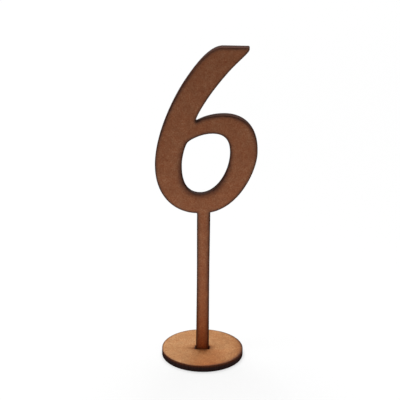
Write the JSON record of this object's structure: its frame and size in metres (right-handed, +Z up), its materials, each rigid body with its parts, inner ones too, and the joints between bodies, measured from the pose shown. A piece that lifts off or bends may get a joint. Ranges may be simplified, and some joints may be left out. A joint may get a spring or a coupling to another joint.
{
  "type": "table number holder",
  "caption": "Flat table numeral on a thin straight stem that stands in the slot of a small round base disc, both laser-cut from MDF sheet.",
  "frame": {"origin": "centre of the base disc's underside, on the table, which is also the centre of the stem's foot", "axes": "+Z up along the stem, the numeral is read from -Y, +X is to the reader's right"},
  "size_m": [0.0454, 0.0368, 0.15],
  "materials": {
    "mdf_plate": "raw MDF, matt and finely mottled, with smoky brown to black laser-charred cut edges",
    "mdf_base": "raw MDF, matt and finely mottled, with a black laser-charred rim and slot"
  },
  "bodies": {
    "base": {"base_disc": "mdf_base"},
    "plate": {"number_plate": "mdf_plate"}
  },
  "joints": [
    {"name": "plate_lift", "type": "slide", "parent": "base", "child": "plate", "axis": [0, 0, 1], "range_m": [0, 0.015]}
  ]
}
